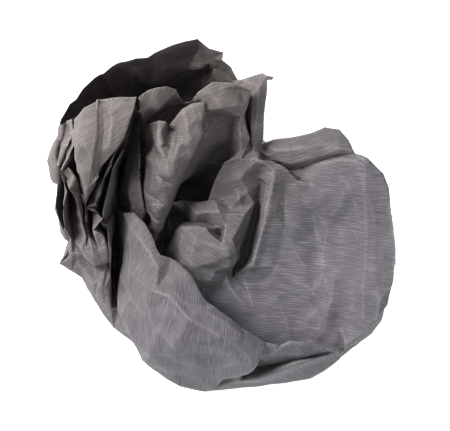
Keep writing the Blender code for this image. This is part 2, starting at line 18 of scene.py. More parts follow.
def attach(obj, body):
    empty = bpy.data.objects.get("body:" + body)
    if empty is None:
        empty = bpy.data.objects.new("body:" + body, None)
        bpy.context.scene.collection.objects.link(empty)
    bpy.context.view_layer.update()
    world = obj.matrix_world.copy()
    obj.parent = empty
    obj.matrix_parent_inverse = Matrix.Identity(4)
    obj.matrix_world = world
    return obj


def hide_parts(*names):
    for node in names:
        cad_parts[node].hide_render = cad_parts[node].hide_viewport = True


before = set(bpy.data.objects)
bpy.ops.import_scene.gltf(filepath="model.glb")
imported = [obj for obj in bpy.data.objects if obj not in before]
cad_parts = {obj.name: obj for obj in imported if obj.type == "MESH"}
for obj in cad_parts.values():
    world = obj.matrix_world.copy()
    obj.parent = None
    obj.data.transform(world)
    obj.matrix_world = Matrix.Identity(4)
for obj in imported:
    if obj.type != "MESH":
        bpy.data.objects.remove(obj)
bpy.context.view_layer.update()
MM = 0.001

# %% [markdown]
# ## One skin of paper
# Real paper is one surface about 0.15 mm thick. The CAD solid has two skins, a front and a
# back, joined by a narrow rim. The detail is easier to add to one skin, and the thickness
# comes back at the end from a Solidify modifier. So the copy is merged, its rim faces, which
# are the only ones with an edge as short as the sheet is thick, are deleted, and one of the
# two skins is kept.

# %% Copy the sheet and keep one skin
def select_only(piece):
    """Make one object the only one that is selected, and the active one."""
    bpy.ops.object.select_all(action="DESELECT")
    piece.select_set(True)
    bpy.context.view_layer.objects.active = piece


def copy_of_node(node, name):
    """A new object with its own merged copy of a CAD node's mesh, in the row frame."""
    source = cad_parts[node]
    mesh = source.data.copy()
    mesh.transform(source.matrix_world)
    piece = bpy.data.objects.new(name, mesh)
    bpy.context.scene.collection.objects.link(piece)
    mesh.materials.clear()
    select_only(piece)
    bpy.ops.object.mode_set(mode="EDIT")
    bpy.ops.mesh.select_all(action="SELECT")
    bpy.ops.mesh.remove_doubles(threshold=0.005 * MM)
    bpy.ops.object.mode_set(mode="OBJECT")
    return piece


RIM_SLACK = 0.04        # how far a rim edge may be from the thickness, as a share of it
CAD_THICKNESS = 0.3 * MM


def keep_one_skin(piece, thickness):
    """Delete the rim between the two skins, and the skin that lies inside the other."""
    mesh = bmesh.new()
    mesh.from_mesh(piece.data)
    mesh.faces.ensure_lookup_table()
    rim = [face for face in mesh.faces
           if any(abs(edge.calc_length() - thickness) < RIM_SLACK * thickness
                  for edge in face.edges)]
    print("rim faces:", len(rim))
    bmesh.ops.delete(mesh, geom=rim, context="FACES")
    skins = []
    found = set()
    for start in mesh.faces:
        if start in found:
            continue
        skin = [start]
        found.add(start)
        for face in skin:
            for edge in face.edges:
                for other in edge.link_faces:
                    if other not in found:
                        found.add(other)
                        skin.append(other)
        skins.append(skin)
    skins.sort(key=lambda skin: sum(face.calc_area() for face in skin), reverse=True)
    print("skins, mm2:", [round(sum(face.calc_area() for face in skin) / MM ** 2)
                          for skin in skins])
    for skin in skins[1:]:
        bmesh.ops.delete(mesh, geom=skin, context="FACES")
    loose = [vertex for vertex in mesh.verts if not vertex.link_faces]
    bmesh.ops.delete(mesh, geom=loose, context="VERTS")
    mesh.to_mesh(piece.data)
    mesh.free()


paper = copy_of_node("paper_sheet", "crumpled_paper")
keep_one_skin(paper, CAD_THICKNESS)
print("faces:", len(paper.data.polygons))

# %% [markdown]
# ## Which way the ribs run
# Ribbed kraft is rolled with fine parallel ribs, so on the flat sheet they all run one way, and
# every fold turns them. A texture that follows the paper needs a UV map. The sheet is cut into
# islands along its sharp folds, as a dressmaker would cut it, and unwrapped. Each island is
# then turned so that its ribs run the way they do on that part of the heap, and scaled so that
# one unit of the map is one millimetre of paper.

# %% Unwrap the paper along its folds
SEAM_ANGLE = math.radians(38)
RIB_DIRECTIONS = [
    # where on the heap, in mm, and which way the ribs run there, in degrees from +X
    ((30, -10), 0), ((55, -10), 2), ((30, -40), -3), ((50, 15), 0), ((22, 10), 5),
    ((35, 28), 15), ((-10, -14), -30), ((-4, 0), -20), ((0, 12), 25), ((-15, -30), -20),
    ((-44, 20), 38), ((-38, 30), 30), ((-50, 0), 40), ((-22, 20), -8), ((-28, 5), -10),
    ((-30, 42), 60), ((-4, 45), 22), ((-2, 30), 20), ((14, 40), 15),
    ((-35, -15), 50), ((-32, -25), 62), ((-28, -38), 85), ((-15, -45), 92), ((5, -55), 100),
    ((-20, -60), 60), ((10, -66), -55), ((30, -60), -50), ((-45, -32), 70),
    ((-60, -15), 5), ((-55, 5), 50), ((-62, 20), 60), ((-52, -30), 20),
    ((-30, 58), 88), ((-10, 62), 85), ((4, 55), 70),
]


NEAREST_WINS = 4        # in square mm: the smaller, the sharper each listed place rules its own


def rib_direction(x, y):
    """Which way the ribs run at a place on the heap seen from above, as an angle.

    An angle and its opposite are the same rib, so the angles are doubled before they are mixed.
    """
    across = along = 0.0
    for (place_x, place_y), degrees in RIB_DIRECTIONS:
        weight = 1 / ((x / MM - place_x) ** 2 + (y / MM - place_y) ** 2 + NEAREST_WINS) ** 2
        along += weight * math.cos(2 * math.radians(degrees))
        across += weight * math.sin(2 * math.radians(degrees))
    return math.atan2(across, along) / 2


def unwrap_by_folds(piece):
    """Mark the sharp folds as seams and unwrap what lies between them."""
    mesh = bmesh.new()
    mesh.from_mesh(piece.data)
    mesh.normal_update()
    for edge in mesh.edges:
        edge.seam = len(edge.link_faces) != 2 or edge.calc_face_angle(0) > SEAM_ANGLE
    mesh.to_mesh(piece.data)
    mesh.free()
    piece.data.uv_layers.new(name="ribs")
    select_only(piece)
    bpy.ops.object.mode_set(mode="EDIT")
    bpy.ops.mesh.select_all(action="SELECT")
    bpy.ops.uv.unwrap(method="ANGLE_BASED", margin=0.001)
    bpy.ops.object.mode_set(mode="OBJECT")


def islands_between_seams(mesh):
    """The faces of each island, in the order of their numbers."""
    found = set()
    islands = []
    for start in mesh.faces:
        if start in found:
            continue
        island = [start]
        found.add(start)
        for face in island:
            for edge in face.edges:
                if edge.seam:
                    continue
                for other in edge.link_faces:
                    if other not in found:
                        found.add(other)
                        island.append(other)
        islands.append(island)
    return islands


MAP_ROOM = 400          # each island starts at a random place of the pattern, within this, in mm
LEAST_FLAT = 1e-9       # a triangle flatter than this in the map gives no direction
NO_DIRECTION = 1e-12    # stands in where an island has no such triangle


def turn_ribs(piece):
    """Turn and scale every island: U runs along the ribs and V across them, both in mm."""
    mesh = bmesh.new()
    mesh.from_mesh(piece.data)
    mesh.normal_update()
    uv = mesh.loops.layers.uv["ribs"]
    chance = random.Random(5)
    islands = islands_between_seams(mesh)
    for island in islands:
        surface = flat = 0.0
        cosine = sine = NO_DIRECTION
        for face in island:
            p0, p1, p2 = [np.array(loop.vert.co) for loop in face.loops]
            q0, q1, q2 = [np.array(loop[uv].uv) for loop in face.loops]
            uv_edges = np.array([q1 - q0, q2 - q0]).T
            flat_area = abs(np.linalg.det(uv_edges)) / 2
            area = face.calc_area()
            if flat_area < LEAST_FLAT:
                continue
            surface += area
            flat += flat_area
            bend = np.array([p1 - p0, p2 - p0]).T @ np.linalg.inv(uv_edges)
            centre = face.calc_center_median()
            angle = rib_direction(centre.x, centre.y)
            normal = face.normal
            rib = np.array([math.cos(angle) * normal.z, math.sin(angle) * normal.z,
                            -(normal.x * math.cos(angle) + normal.y * math.sin(angle))])
            u, v = np.linalg.lstsq(bend, rib, rcond=None)[0]
            double = 2 * math.atan2(v, u)
            cosine += area * abs(normal.z) * math.cos(double)
            sine += area * abs(normal.z) * math.sin(double)
        turn = -math.atan2(sine, cosine) / 2
        scale = math.sqrt(surface / flat) / MM if flat > 0 else 1.0
        shift = Vector((chance.uniform(0, MAP_ROOM), chance.uniform(0, MAP_ROOM)))
        for face in island:
            for loop in face.loops:
                u, v = loop[uv].uv
                loop[uv].uv = shift + scale * Vector((
                    u * math.cos(turn) - v * math.sin(turn),
                    u * math.sin(turn) + v * math.cos(turn)))
    print("islands:", len(islands))
    mesh.to_mesh(piece.data)
    mesh.free()


unwrap_by_folds(paper)
turn_ribs(paper)

# %% [markdown]
# ## Folds that are sharp, and bends that are soft
# Paper makes two kinds of line. A fold that was pressed is sharp, and a bend that was never
# pressed stays round. A Subdivision Surface rounds every edge, except those with a crease
# weight, so each edge gets a weight from how far it is folded: none for a shallow bend, and all
# of it for a sharp fold.

# %% Round the bends and keep the folds
SOFT_BEND = math.radians(5)
SHARP_FOLD = math.radians(17)
CORNER_WEIGHT = 0.9


def apply_modifier(piece, kind, **settings):
    """Add a modifier, set it and apply it."""
    modifier = piece.modifiers.new(kind.lower(), kind)
    for name, value in settings.items():
        setattr(modifier, name, value)
    select_only(piece)
    bpy.ops.object.modifier_apply(modifier=modifier.name)


def weigh_folds(piece):
    """Crease weights from the angle at each edge, and at each point where folds meet."""
    mesh = bmesh.new()
    mesh.from_mesh(piece.data)
    mesh.normal_update()
    weights = []
    for edge in mesh.edges:
        if len(edge.link_faces) != 2:
            weights.append(1.0)
            continue
        amount = (edge.calc_face_angle(0) - SOFT_BEND) / (SHARP_FOLD - SOFT_BEND)
        weights.append(min(max(amount, 0.0), 1.0))
    corners = []
    for vertex in mesh.verts:
        folds = sorted((weights[edge.index] for edge in vertex.link_edges), reverse=True)
        corners.append(CORNER_WEIGHT * folds[1 if vertex.is_boundary else 2])
    mesh.free()
    piece.data.edge_creases_ensure().data.foreach_set("value", weights)
    piece.data.vertex_creases_ensure().data.foreach_set("value", corners)
    print("folds:", sum(weight > 0.5 for weight in weights), "of", len(weights), "edges")


weigh_folds(paper)
apply_modifier(paper, "SUBSURF", levels=2, render_levels=2, uv_smooth="PRESERVE_BOUNDARIES")
print("faces:", len(paper.data.polygons))

# %% [markdown]
# ## Single creases
# Where crushed paper buckles and springs back it keeps a thin pale line and a slight ridge.
# Their places matter to the eye, so they are drawn one by one, as lines seen from above.

# %% Where the single creases run
CREASES = [
    # height in mm (a dent is below zero), half-width in mm, then the places it passes, in mm
    # across the bowl
    (0.55, 5.0, [(20.4, 2), (26.4, -2), (33.2, -6), (36, -10)]),
    (0.6, 5.0, [(15.6, -16.4), (24.4, -22), (32.4, -27.2), (36.8, -30), (39.2, -28), (40.4, -22)]),
    (-0.5, 5.0, [(40.4, -22), (40, -12), (37.2, -6)]),
    (0.5, 4.0, [(36.8, -30), (40, -35), (42.5, -40)]),
    (0.5, 5.0, [(20.8, -25.2), (27.2, -29.6), (34.4, -33.6)]),
    (0.5, 4.0, [(40.8, -34), (43.2, -37.2), (44.4, -34), (45, -26)]),
    (0.6, 5.0, [(52, -38), (53.5, -33), (56, -30), (58, -25.2)]),
    (0.4, 4.0, [(51.2, -4), (56, -12)]),
    (0.5, 4.0, [(44, 0), (47.2, 4), (49, 9)]),
    (-0.5, 5.0, [(24, 5), (26, -2), (25, 10)]),
    (0.5, 4.0, [(43.2, -38.8), (41.2, -46), (38, -50)]),
    (0.4, 3.5, [(35.2, -41.2), (39.2, -37.2)]),
    (0.4, 4.0, [(60, -30), (65.6, -36)]),
    (0.45, 5.0, [(54.4, 20), (57.6, 10), (60, 3), (61, -5)]),
    (-0.4, 5.0, [(47, 17), (52, 8), (54, 2)]),
    (0.4, 5.0, [(30, 8), (37, 2), (42, -5)]),
    (0.4, 4.0, [(33, -46), (36, -38), (35, -33)]),
    (0.35, 4.0, [(22, -34), (26, -42), (27, -50)]),
    (0.8, 5.0, [(20.4, 1), (28, -12), (34, -22)]),
    (-0.9, 6.0, [(28.8, 12.8), (36, 1.8), (38.4, -14), (40.8, -22.4), (36, -29.6)]),
    (1.0, 5.0, [(4.4, -22.4), (19, -20), (26.4, -24.8), (37.2, -30.4)]),
    (0.9, 4.0, [(-7.6, -26), (5.6, -27.2), (19.2, -28.4)]),
    (0.7, 5.0, [(42, -6.8), (39.6, -20), (44.4, -34.6), (38.4, -46.8)]),
    (0.8, 5.0, [(57.2, 22.4), (57.9, -10.4), (56.6, -42)]),
    # the crumpled middle
    (0.9, 3.0, [(19, 15.2), (17.2, 4), (15.6, -10), (12, -20)]),
    (0.8, 4.0, [(-18.5, -3.1), (-8.8, -10.4), (2, -14)]),
    (0.8, 4.0, [(-8.8, -5.5), (-12.4, -16.4), (-11.2, -24.8)]),
    (0.7, 3.0, [(2, -14), (3, -20), (-1, -24)]),
    (0.8, 3.0, [(6.4, 14.4), (9.4, 16.9), (14.2, 20)]),
    # the collar
    (0.6, 5.0, [(-37.6, -22.4), (-32.8, -26), (-26.8, -30), (-20.8, -32.4), (-12.8, -41.2),
                (-6.4, -44.8)]),
    (0.5, 4.5, [(-29.6, -34), (-26.8, -44), (-22.8, -48), (-18.8, -52)]),
    (0.4, 3.5, [(-18.8, -38), (-13.6, -45.2)]),
    (-0.5, 4.0, [(-34, -55.6), (-20, -56), (-8, -55.4), (2, -55.8)]),
    (0.5, 4.0, [(-19.2, -30.4), (-15.2, -34.8), (-10.4, -36), (-2.8, -36.8)]),
    (0.4, 4.0, [(-40, -24), (-36, -34), (-30, -40)]),
    (0.4, 3.5, [(-10, -50), (-2, -48), (5, -49)]),
    (0.45, 4.0, [(-6, -62), (8, -58), (20, -60), (32, -56)]),
    (0.4, 3.0, [(6, -64), (12, -60), (14, -54)]),
    # flap on the left
    (-0.9, 4.0, [(-47.6, 44), (-47.8, 36), (-48.4, 26), (-48.8, 18)]),
    (0.5, 3.0, [(-45.2, 43), (-44, 40), (-40, 43.5)]),
    (0.5, 3.5, [(-56.8, 30), (-54, 29), (-51.4, 25), (-50.8, 14), (-49, 8)]),
    (0.5, 3.0, [(-54.8, 27.2), (-57.6, 22)]),
    # tongue
    (0.7, 3.5, [(-26, 31), (-24, 26), (-21.6, 21.2), (-20.8, 17.2)]),
    (0.6, 3.0, [(-28.8, 22.4), (-24, 19), (-20.8, 17.2)]),
    (0.5, 3.0, [(-14, 33), (-17, 26), (-20.8, 17.2)]),
    (-1.5, 3.5, [(-19.8, 35), (-20.4, 28), (-21.8, 22)]),
    (0.9, 3.0, [(-26.8, 34), (-22.8, 24), (-24.8, 10), (-26, -4)]),
    (1.5, 3.0, [(-9.8, 33), (-16, 20), (-20.8, 10), (-26.4, -5)]),
    (0.8, 3.0, [(-30, 26), (-27, 20), (-28, 8)]),
    # right flap and wall
    (0.4, 3.5, [(-8, 40), (0, 43), (8, 44)]),
    (0.6, 5.0, [(-9.6, 70), (-8.8, 62), (-6.8, 54), (-12.8, 47)]),
    (0.8, 5.0, [(-36, 60), (-30, 55), (-20, 50)]),
    (0.8, 4.0, [(-48, 58), (-44, 50), (-38, 44)]),
    (-0.4, 5.0, [(-26, 62), (-28, 55), (-30, 48)]),
]


FAR_AWAY = 1e9


def distance_to_line(points, line):
    """How far each place is from a line of straight pieces, seen from above, in mm."""
    nearest = np.full(len(points), FAR_AWAY)
    for start, end in zip(line, line[1:]):
        start, end = np.array(start, float), np.array(end, float)
        along = end - start
        share = np.clip((points[:, :2] - start) @ along / (along @ along), 0, 1)
        gap = np.linalg.norm(points[:, :2] - start - share[:, None] * along, axis=1)
        nearest = np.minimum(nearest, gap)
    return nearest


# %% [markdown]
# ## Finer faces where the eye goes
# Small creases need small faces. They are only wanted on the side that is seen from above, so
# that side is found by looking straight up from each face: where nothing is in the way, its
# long edges are split until nearly all are under two millimetres. A crease looks crisp only if
# its crest is a row of edges, so the faces are first cut by an upright plane along each crease,
# and the faces beside the crest are split once more.

# %% Split the long edges of the side that is seen
COARSE_EDGE = 4.5 * MM
FIRST_STEPS = (4 * MM, 2.6 * MM)
LAST_STEPS = (1.8 * MM, 1.75 * MM)
CREST_STEPS = (1.1 * MM, 0.75 * MM)
CREST_REACH = 0.7       # how far from a crest the last splits reach, in mm
CUT_REACH = 3 * MM      # how far to the side of a crease a face is still offered to the cut
CUT_BEFORE = 2 * MM
CUT_AFTER = 1 * MM
CUT_SNAP = 0.2 * MM
LEAST_TILT = 0.12       # an upright face counts as unseen below this share of upward normal
STRAY_EDGE = 0.12 * MM
LIFT = 0.02 * MM        # how far above its face a look upwards starts


def triangulate_new(mesh):
    """Cut every face of four or more corners into triangles."""
    bmesh.ops.triangulate(mesh, faces=[face for face in mesh.faces if len(face.verts) > 3])


def cut_along_creases(mesh, seen):
    """Cut the seen faces along every single crease, so that its crest is a row of edges."""
    for _, _, line in CREASES:
        for start, end in zip(line, line[1:]):
            start, end = Vector(start + (0,)) * MM, Vector(end + (0,)) * MM
            along = (end - start).normalized()
            across = Vector((-along.y, along.x, 0))
            reach = (end - start).length
            near = [face for face in mesh.faces
                    if face[seen] and abs((face.verts[0].co - start).dot(across)) < CUT_REACH
                    and -CUT_BEFORE < (face.calc_center_median() - start).dot(along)
                    < reach + CUT_AFTER]
            parts = dict.fromkeys(near)
            for face in near:
                parts.update(dict.fromkeys(face.edges))
                parts.update(dict.fromkeys(face.verts))
            bmesh.ops.bisect_plane(mesh, geom=list(parts), dist=CUT_SNAP, plane_co=start,
                                   plane_no=across)
    triangulate_new(mesh)
    print("faces after the cuts:", len(mesh.faces))


def split_at_middle(mesh, edges, what):
    """Cut each of the edges in two, and their faces into triangles again."""
    bmesh.ops.subdivide_edges(mesh, edges=edges, cuts=1)
    triangulate_new(mesh)
    print("edges split, %s: %d" % (what, len(edges)))


def mark_seen(mesh):
    """A face layer that is 1 where nothing stands above the face."""
    tree = BVHTree.FromBMesh(mesh)
    seen = mesh.faces.layers.int.new("seen")
    for face in mesh.faces:
        start = face.calc_center_median() + Vector((0, 0, LIFT))
        above = tree.ray_cast(start, Vector((0, 0, 1)))[0]
        face[seen] = int(above is None and abs(face.normal.z) > LEAST_TILT)
    return seen


def split_by_length(mesh, seen, limit):
    """Split the edges longer than the limit, or than the coarse edge where they are unseen."""
    hidden_limit = max(limit, COARSE_EDGE)
    edges = [edge for edge in mesh.edges
             if edge.calc_length() > (limit if any(face[seen] for face in edge.link_faces)
                                      else hidden_limit)]
    split_at_middle(mesh, edges, "over %.2f mm" % (limit / MM))


def split_beside_creases(mesh, seen, limit):
    """Split the seen edges longer than the limit that lie close to a single crease."""
    middles = np.array([(edge.verts[0].co + edge.verts[1].co) / 2 for edge in mesh.edges]) / MM
    nearest = np.full(len(middles), FAR_AWAY)
    for _, _, line in CREASES:
        nearest = np.minimum(nearest, distance_to_line(middles, line))
    edges = [edge for edge, gap in zip(mesh.edges, nearest)
             if gap < CREST_REACH and edge.calc_length() > limit
             and any(face[seen] for face in edge.link_faces)]
    split_at_middle(mesh, edges, "beside creases")


def split_long_edges(piece):
    """Split edges at their middle until each is short enough for where it is."""
    mesh = bmesh.new()
    mesh.from_mesh(piece.data)
    bmesh.ops.triangulate(mesh, faces=mesh.faces)
    mesh.normal_update()
    seen = mark_seen(mesh)
    for limit in FIRST_STEPS:
        split_by_length(mesh, seen, limit)
    cut_along_creases(mesh, seen)
    for limit in LAST_STEPS:
        split_by_length(mesh, seen, limit)
    for limit in CREST_STEPS:
        split_beside_creases(mesh, seen, limit)
    bmesh.ops.dissolve_degenerate(mesh, dist=STRAY_EDGE, edges=mesh.edges)
    triangulate_new(mesh)
    mesh.to_mesh(piece.data)
    mesh.free()


split_long_edges(paper)
print("faces:", len(paper.data.polygons))

# %% [markdown]
# ## Small creases
# Crushing leaves three sizes of crease. The big folds are in the CAD already. Between them lie
# flat facets a centimetre or so wide, and across those run single thin creases where the paper
# buckled. The facets come from heights drawn at the corners of a grid and joined by straight
# slopes: between the creases the sheet stays flat, as paper does. The single creases are the
# low ridges that were drawn one by one above. A Displace modifier could do some of this, but
# not raise a ridge along a line, so the points are moved in code, all of them at once.

# %% Slow waves and flat facets
WAVES = 7
WAVES_SUM = 3.2         # what the added waves are divided by, to come to about 1
TABLE_SIDE = 32         # how many corners a side the table of heights has before it repeats
FAR_CORNER = 500        # keeps every place on the table's positive side
DRIFT = 0.35            # how far the waves carry a corner, as a share of a facet
DRIFT_SIZE = 3.5        # how long those waves are, in facets


def smooth_noise(points, size, seed):
    """Slow waves added up, from about -1 to 1, for points in mm and a size in mm."""
    rng = np.random.default_rng(seed)
    total = np.zeros(len(points))
    for _ in range(WAVES):
        direction = rng.normal(size=3)
        direction /= np.linalg.norm(direction)
        step = size * rng.uniform(0.6, 1.5)
        total += np.sin(points @ direction * (2 * np.pi / step) + rng.uniform(0, 2 * np.pi))
    return total / WAVES_SUM


def facets(points, size, seed):
    """A height from -1 to 1 that is flat in facets about this size, with sharp creases between.

    Space is cut into cubes and each cube into six tetrahedra. Every corner has a height drawn
    at random, and the height changes evenly between the corners.
    """
    rng = np.random.default_rng(seed)
    turn = np.linalg.qr(rng.normal(size=(3, 3)))[0]
    table = rng.uniform(-1, 1, size=(TABLE_SIDE,) * 3)
    drift = np.stack([smooth_noise(points, DRIFT_SIZE * size, 10 * seed + axis)
                      for axis in range(3)], 1)
    place = points @ turn / size + DRIFT * drift + FAR_CORNER
    corner = np.floor(place).astype(int)
    share = place - corner
    order = np.argsort(-share, axis=1)
    rows = np.arange(len(points))
    here = corner.copy()
    height = table[tuple((here % TABLE_SIDE).T)]
    before = height.copy()
    for step in range(3):
        axis = order[:, step]
        here[rows, axis] += 1
        after = table[tuple((here % TABLE_SIDE).T)]
        height = height + share[rows, axis] * (after - before)
        before = after
    return height


# %% How rough each part of the heap is
BIG_FACET = (17.0, 0.8, 3)      # size in mm, height in mm, seed
SMALL_FACET = (8.0, 0.3, 4)
UNDERSIDE_FACET = (16.0, 1.3, 9)
EVEN_ROUGHNESS = 1.35
MIDDLE = (2, -8)                # where the sheet is crushed most, in mm
MIDDLE_SPREAD = 24.0
MIDDLE_ROUGHNESS = 0.3
LEFT_FROM = -12                 # the pleated left side starts here, in mm
LEFT_WIDTH = 20
LEFT_ROUGHNESS = 0.5
UNDERSIDE_TOP = 14              # the broad facets of the underside end at this height, in mm


def facet_height(points, facet):
    """The height in mm that one kind of facet gives."""
    size, height, seed = facet
    return height * facets(points, size, seed)


def roughness(points):
    """How strong the facets are: more in the crushed middle, and on the pleated left side."""
    from_middle = (points[:, 0] - MIDDLE[0]) ** 2 + (points[:, 1] - MIDDLE[1]) ** 2
    middle = np.exp(-from_middle / MIDDLE_SPREAD ** 2)
    left = np.clip((LEFT_FROM - points[:, 0]) / LEFT_WIDTH, 0, 1)
    return EVEN_ROUGHNESS + MIDDLE_ROUGHNESS * middle + LEFT_ROUGHNESS * left


# %% Move the paper
RIDGE_STRENGTH = 1.1
LINE_WEAR = 0.28
LINE_HALF_WIDTH = 0.6           # of the pale line along a crease, in mm
LOWEST_POINT = 0.25             # in mm, so that the paper's lower face stays above the table


def seen_points(mesh):
    """1 for every point of a face that can be seen from above, and 0 for the others."""
    seen_face = np.empty(len(mesh.polygons), int)
    mesh.attributes["seen"].data.foreach_get("value", seen_face)
    seen = np.zeros(len(mesh.vertices))
    for face, is_seen in zip(mesh.polygons, seen_face):
        if is_seen:
            seen[list(face.vertices)] = 1.0
    return seen


def crumple(piece):
    """Move every point of the sheet along its normal by the facets and the single creases."""
    mesh = piece.data
    count = len(mesh.vertices)
    points = np.empty(count * 3)
    mesh.vertices.foreach_get("co", points)
    points = points.reshape(-1, 3) / MM
    normals = np.array([vertex.normal for vertex in mesh.vertices])
    seen = seen_points(mesh)
    facing = np.where(normals[:, 2] < 0, -1.0, 1.0)
    height = roughness(points) * (facet_height(points, BIG_FACET)
                                  + facet_height(points, SMALL_FACET))
    wear_and_highlight = np.zeros(count)
    for rise, half_width, line in CREASES:
        gap = distance_to_line(points, line)
        ridge = np.clip(1 - gap / half_width, 0, 1)
        height += RIDGE_STRENGTH * rise * ridge * seen * facing
        pale = LINE_WEAR * np.clip(1 - gap / LINE_HALF_WIDTH, 0, 1) * seen
        wear_and_highlight = np.maximum(wear_and_highlight, pale)
    below = np.clip((UNDERSIDE_TOP - points[:, 2]) / UNDERSIDE_TOP, 0, 1)
    height += below * facet_height(points, UNDERSIDE_FACET)
    moved = points + normals * height[:, None]
    moved[:, 2] = np.maximum(moved[:, 2], LOWEST_POINT)
    mesh.vertices.foreach_set("co", (moved * MM).ravel())
    layer = mesh.attributes.new("wear_and_highlight", "FLOAT", "POINT")
    layer.data.foreach_set("value", wear_and_highlight.astype(np.float32))
    mesh.update()
    print("moved by up to %.2f mm" % np.abs(height).max())


crumple(paper)

# %% [markdown]
# ## Where the paper wears pale, and where highlight is painted
# Handling rubs the cut edge and the folds that stand out, and the paper turns pale there. The
# same pale also stands in for light caught by the cut edge and the standing crests: a painted
# highlight. The material needs to know where that is, so every point of the mesh gets a
# number from 0, fresh, to 1, fully pale. The single creases have theirs already, and here the
# edge and the crests follow.

# %% Wear and painted highlight on the cut edge and the crests
# pale fibre from wear plus a painted highlight where the cut edge and standing crests catch light
CUT_EDGE_WEAR_AND_HIGHLIGHT = 0.9
CREST_WEAR_AND_HIGHLIGHT = 0.6
CREST_FROM = 0.35               # a fold counts as a crest from this angle, in radians
CREST_RANGE = 0.5               # and is fully worn this much further


def wear_and_highlight_edges(piece):
    """Raise the wear and painted highlight share on the sheet's cut edge and on sharp folds that
    stand out.
    """
    mesh = bmesh.new()
    mesh.from_mesh(piece.data)
    mesh.normal_update()
    wear_and_highlight = mesh.verts.layers.float["wear_and_highlight"]
    crests = 0
    for edge in mesh.edges:
        if edge.is_boundary:
            share = CUT_EDGE_WEAR_AND_HIGHLIGHT
        else:
            up = 1 if sum(face.normal.z for face in edge.link_faces) > 0 else -1
            stands_out = up * edge.calc_face_angle_signed(0)
            share = CREST_WEAR_AND_HIGHLIGHT * min(max((stands_out - CREST_FROM) / CREST_RANGE, 0), 1)
            crests += share > 0
        for vertex in edge.verts:
            vertex[wear_and_highlight] = max(vertex[wear_and_highlight], share)
    mesh.to_mesh(piece.data)
    mesh.free()
    print("worn crests, edges:", crests)


wear_and_highlight_edges(paper)

# %% [markdown]
# ## Back to paper's thickness
# Solidify gives the skin its second side and a rim, and smooth shading lets light roll over
# the bends. The paper is drawn 0.2 mm thick, so that its cut edge catches the light.

# %% Thickness and shading
THICKNESS = 0.2 * MM
SMOOTH_UP_TO = math.radians(45)
apply_modifier(paper, "SOLIDIFY", thickness=THICKNESS, offset=0.0)
select_only(paper)
bpy.ops.object.shade_smooth_by_angle(angle=SMOOTH_UP_TO)
print("triangles:", sum(len(face.vertices) - 2 for face in paper.data.polygons))

# %% [markdown]
# ## Ribbed kraft paper
# The sheet is dark grey kraft paper, dyed through and rolled with fine ribs, and unglazed. To
# the eye that gives a matt grey with thin, broken light lines along the ribs' tops,
# cloudy patches from uneven fibre, and pale lines along the creases, where the dyed fibres
# have broken and stand up.

# %% Colours and one helper for nodes
def linear(hex_colour):
    """An sRGB hex colour as a linear RGBA colour."""
    values = [int(hex_colour[i:i + 2], 16) / 255 for i in (0, 2, 4)]
    return tuple(v / 12.92 if v <= 0.04045 else ((v + 0.055) / 1.055) ** 2.4
                 for v in values) + (1.0,)


def add_node(tree, kind, settings=None, **links):
    """Add a node. Settings are its properties, and links are values or sockets by input."""
    node = tree.nodes.new(kind)
    for name, value in (settings or {}).items():
        setattr(node, name, value)
    for name, value in links.items():
        socket = node.inputs[int(name[1:])] if name[0] == "i" and name[1:].isdigit() \
            else node.inputs[name.replace("_", " ")]
        if isinstance(value, bpy.types.NodeSocket):
            tree.links.new(value, socket)
        else:
            socket.default_value = value
    return node


# %% The paper's colours and sizes
# the dye's colours carry a painted light tint: cool at the front and right, warm at the back and
# left
PAINTED_COOL_DARK = "4D4A4F"           # the dye where fibre lies thin, with a painted cool, slightly violet light tint
PAINTED_COOL_PALE = "69666B"
PAINTED_WARM_DARK = "534D4B"         # the same with a painted warm light tint, towards the back and left
PAINTED_WARM_PALE = "6E6766"
RUBBED_FIBRE_AND_HIGHLIGHT = "B4B0AF"         # broken fibre that stands up where the paper wears, also the painted highlight on edge and crests
WEAR_AND_HIGHLIGHT_SHARE = 0.4                # how much of it shows where wear and painted highlight are full
PAINTED_WARM_WAY = (-0.6, 0.8, 0.0)  # which way across the heap the painted warm light tint grows
PAINTED_WARM_FROM = -20 * MM
PAINTED_WARM_TO = 40 * MM
RIB_PITCH = 1.0                 # from rib to rib, in mm
RIB_SHARE = 0.15                # even ribs against uneven streaks, since rolled ribs break up
STREAKS_PER_MM = 2.3
STREAK_STRETCH = 0.06           # a streak is about 17 times as long as it is wide
FIBRES_PER_MM = 2.2
CLOUDS_PER_CM = 1.2             # patches of thick and thin fibre
RELIEF = 0.35 * MM              # drawn deeper than real ribs, so that it shows
GRAIN_RELIEF = 0.3              # the fibre grain against the ribs, in the relief
WAVE_STEP = 20.0                # a Wave texture of scale 1 turns through this many radians a unit

# %% The paper's material
def number_node(tree, operation, first, second):
    """The result of one sum on two numbers or sockets."""
    return add_node(tree, "ShaderNodeMath", {"operation": operation}, i0=first,
                    i1=second).outputs[0]


